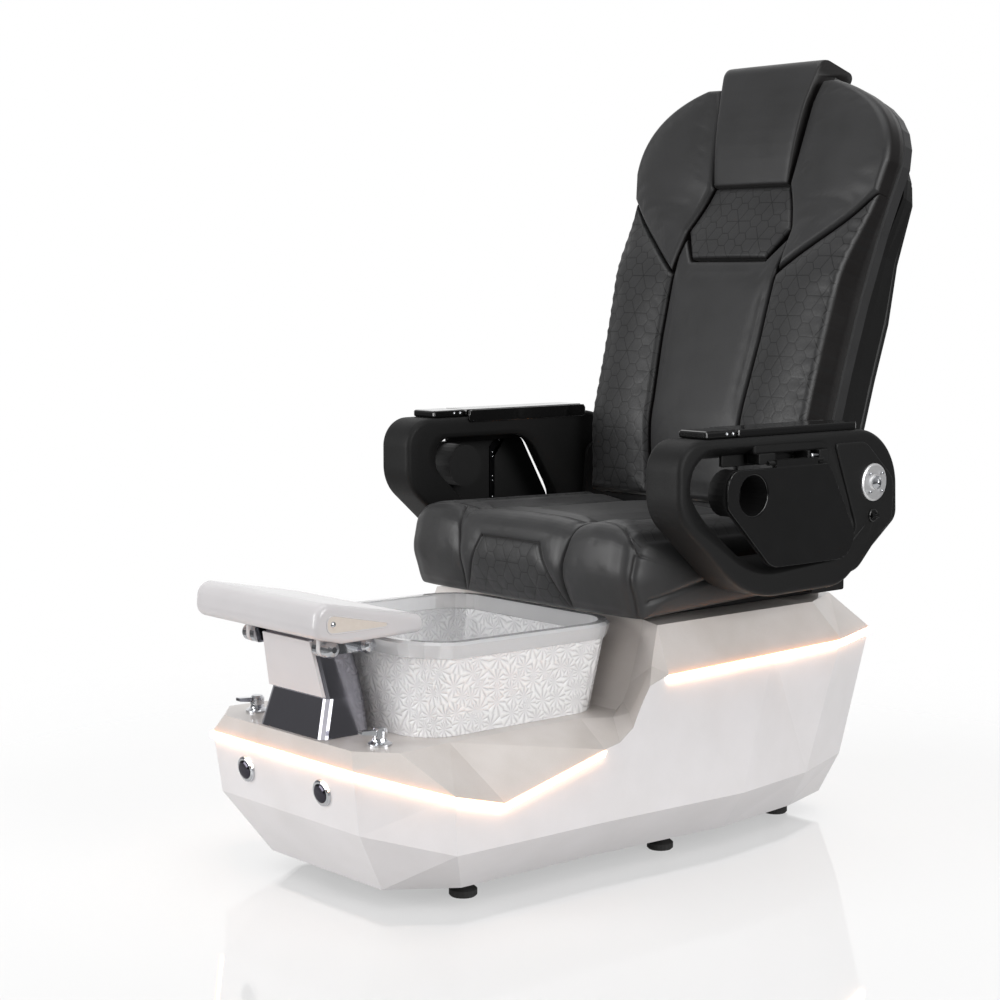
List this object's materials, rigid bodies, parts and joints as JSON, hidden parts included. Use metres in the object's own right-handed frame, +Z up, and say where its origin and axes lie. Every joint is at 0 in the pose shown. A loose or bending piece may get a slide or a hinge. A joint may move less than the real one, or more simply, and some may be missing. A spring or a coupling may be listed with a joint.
{
  "type": "pedicure chair",
  "caption": "Pedicure chair: faceted light-edged base with a foot bath, tilting footrest, sliding reclining seat and lifting arms with trays.",
  "frame": {"origin": "on the floor, at the middle of the part's bounding box", "axes": "+X towards the sitter's left, -Y towards the footrest, +Z up"},
  "size_m": [0.833, 1.3132, 1.444],
  "materials": {
    "pearl_gelcoat": "pearl gelcoat",
    "light_lens": "glowing warm-white lens",
    "dark_steel": "dark painted",
    "black_rubber": "matte",
    "white_textured_bowl": "embossed gloss white",
    "clear_acrylic": "clear polished",
    "chrome": "polished",
    "mirror_steel": "mirror polished",
    "white_gloss_plastic": "gloss",
    "dark_plastic": "satin black",
    "satin_silver": "satin",
    "black_leather": "smooth upholstery",
    "black_quilted_leather": "quilted upholstery",
    "black_textured_plastic": "fine texture",
    "gloss_black_plastic": "gloss"
  },
  "bodies": {
    "base": {"base_skirt": "pearl_gelcoat", "base_deck": "pearl_gelcoat", "led_strip_front": "light_lens", "led_strip_rear": "light_lens", "base_pan": "dark_steel", "pedestal_frame": "dark_steel", "bowl": "white_textured_bowl", "bowl_rim": "clear_acrylic", "drain_fitting": "chrome", "drain_pump": "dark_plastic", "jet_cover": "white_gloss_plastic", "jet_motor": "dark_plastic", "footrest_column": "mirror_steel", "column_plate": "white_gloss_plastic", "footrest_bracket": "chrome", "foot_front_left": "black_rubber", "foot_front_right": "black_rubber", "foot_middle_left": "black_rubber", "foot_middle_right": "black_rubber", "foot_rear_left": "black_rubber", "foot_rear_right": "black_rubber", "button_bezel_left": "chrome", "tap_flange_left": "chrome", "slide_rail_left": "dark_steel", "button_bezel_right": "chrome", "tap_flange_right": "chrome", "slide_rail_right": "dark_steel"},
    "footrest": {"footrest_pad": "white_gloss_plastic"},
    "seat": {"seat_frame": "dark_plastic", "recline_shaft": "dark_steel", "recline_motor": "dark_plastic", "seat_cushion": "black_quilted_leather", "arm_bracket_left": "dark_plastic", "arm_bracket_right": "dark_plastic"},
    "actuator": {"actuator_rod": "dark_steel"},
    "back": {"back_board": "black_leather", "back_shell": "black_textured_plastic", "rear_cover": "dark_plastic", "centre_pad": "black_leather", "neck_pad": "black_quilted_leather", "head_pillow": "black_leather", "wing_pad_left": "black_leather", "bolster_left": "black_quilted_leather", "wing_pad_right": "black_leather", "bolster_right": "black_quilted_leather"},
    "button_left": {"button_cap_left": "satin_silver"},
    "tap_left": {"tap_lever_left": "chrome"},
    "arm_left": {"arm_body_left": "black_textured_plastic", "pivot_disc_left": "satin_silver", "arm_cap_left": "gloss_black_plastic"},
    "lid_left": {"arm_lid_left": "gloss_black_plastic"},
    "tray_left": {"tray_left": "gloss_black_plastic"},
    "button_right": {"button_cap_right": "satin_silver"},
    "tap_right": {"tap_lever_right": "chrome"},
    "arm_right": {"arm_body_right": "black_textured_plastic", "pivot_disc_right": "satin_silver", "arm_cap_right": "gloss_black_plastic"},
    "lid_right": {"arm_lid_right": "gloss_black_plastic"},
    "tray_right": {"tray_right": "gloss_black_plastic"}
  },
  "joints": [
    {"name": "seat_slide", "type": "slide", "parent": "base", "child": "seat", "axis": [0, 1, 0], "range_m": [-0.04, 0.06]},
    {"name": "back_recline", "type": "hinge", "parent": "seat", "child": "back", "pos_m": [0, 0.3599, 0.52], "axis": [-1, 0, 0], "range_deg": [0, 30]},
    {"name": "actuator_push", "type": "slide", "parent": "seat", "child": "actuator", "axis": [0, -1, 0], "range_m": [0, 0.031]},
    {"name": "footrest_tilt", "type": "hinge", "parent": "base", "child": "footrest", "pos_m": [0, -0.6061, 0.433], "axis": [1, 0, 0], "range_deg": [0, 60]},
    {"name": "arm_lift_left", "type": "hinge", "parent": "seat", "child": "arm_left", "pos_m": [0.32, 0.3899, 0.662], "axis": [-1, 0, 0], "range_deg": [0, 80]},
    {"name": "tray_swing_left", "type": "hinge", "parent": "arm_left", "child": "tray_left", "pos_m": [0.4105, 0.1799, 0.712], "axis": [0, -1, 0], "range_deg": [0, 90]},
    {"name": "lid_open_left", "type": "hinge", "parent": "arm_left", "child": "lid_left", "pos_m": [0.3615, 0.0459, 0.772], "axis": [1, 0, 0], "range_deg": [0, 70]},
    {"name": "button_press_left", "type": "slide", "parent": "base", "child": "button_left", "axis": [0, 0.9905, 0.1376], "range_m": [0, 0.003], "stiffness_N_per_m": 500},
    {"name": "tap_turn_left", "type": "hinge", "parent": "base", "child": "tap_left", "pos_m": [0.175, -0.5531, 0.29], "axis": [0, 0, 1], "range_deg": [0, 90]},
    {"name": "arm_lift_right", "type": "hinge", "parent": "seat", "child": "arm_right", "pos_m": [-0.32, 0.3899, 0.662], "axis": [-1, 0, 0], "range_deg": [0, 80]},
    {"name": "tray_swing_right", "type": "hinge", "parent": "arm_right", "child": "tray_right", "pos_m": [-0.4105, 0.1799, 0.712], "axis": [0, 1, 0], "range_deg": [0, 90]},
    {"name": "lid_open_right", "type": "hinge", "parent": "arm_right", "child": "lid_right", "pos_m": [-0.3615, 0.0459, 0.772], "axis": [1, 0, 0], "range_deg": [0, 70]},
    {"name": "button_press_right", "type": "slide", "parent": "base", "child": "button_right", "axis": [0, 0.9905, 0.1376], "range_m": [0, 0.003], "stiffness_N_per_m": 500},
    {"name": "tap_turn_right", "type": "hinge", "parent": "base", "child": "tap_right", "pos_m": [-0.175, -0.5531, 0.29], "axis": [0, 0, -1], "range_deg": [0, 90]}
  ],
  "couplings": [
    {"joint": "actuator_push", "follows": "back_recline", "m_per_rad": 0.058}
  ]
}
